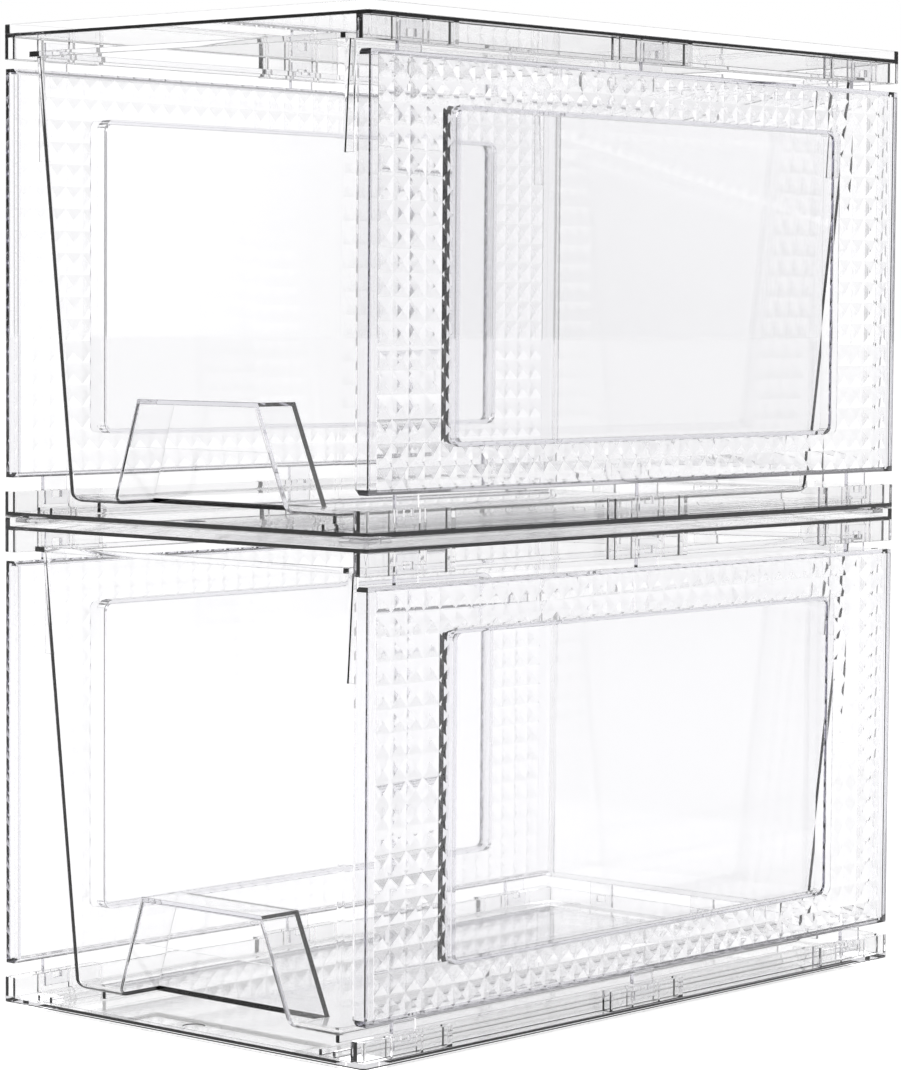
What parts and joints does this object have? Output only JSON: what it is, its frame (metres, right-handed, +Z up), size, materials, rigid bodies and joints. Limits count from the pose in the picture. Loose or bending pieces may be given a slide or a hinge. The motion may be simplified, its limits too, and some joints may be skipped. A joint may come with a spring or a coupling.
{
  "type": "shoe box",
  "caption": "Clear plastic stacking shoe boxes with embossed sides, smooth windows and tapered slide-out drawers with finger pulls.",
  "frame": {"origin": "centre of the lower box's footprint, on the surface its feet stand on", "axes": "+Z up, -Y out of the open front where the drawers slide out, +X towards the right side panel as seen from the front"},
  "size_m": [0.203, 0.34, 0.4021],
  "materials": {
    "case_plastic": "water-clear, polished, with a faint lavender-grey tint",
    "embossed_plastic": "water-clear, pyramid-embossed outside a smooth polished window",
    "drawer_plastic": "water-clear and polished"
  },
  "bodies": {
    "lower_box": {"lower_base_tray": "case_plastic", "lower_lid": "case_plastic", "lower_left_side_panel": "embossed_plastic", "lower_right_side_panel": "embossed_plastic", "lower_back_panel": "case_plastic"},
    "lower_drawer": {"lower_drawer": "drawer_plastic"},
    "upper_box": {"upper_base_tray": "case_plastic", "upper_lid": "case_plastic", "upper_left_side_panel": "embossed_plastic", "upper_right_side_panel": "embossed_plastic", "upper_back_panel": "case_plastic"},
    "upper_drawer": {"upper_drawer": "drawer_plastic"}
  },
  "joints": [
    {"name": "lower_drawer_slide", "type": "slide", "parent": "lower_box", "child": "lower_drawer", "axis": [0, -1, 0], "range_m": [0, 0.28]},
    {"name": "upper_box_lift", "type": "slide", "parent": "lower_box", "child": "upper_box", "axis": [0, 0, 1], "range_m": [0, 0.12]},
    {"name": "upper_drawer_slide", "type": "slide", "parent": "upper_box", "child": "upper_drawer", "axis": [0, -1, 0], "range_m": [-0.003, 0.28]}
  ]
}
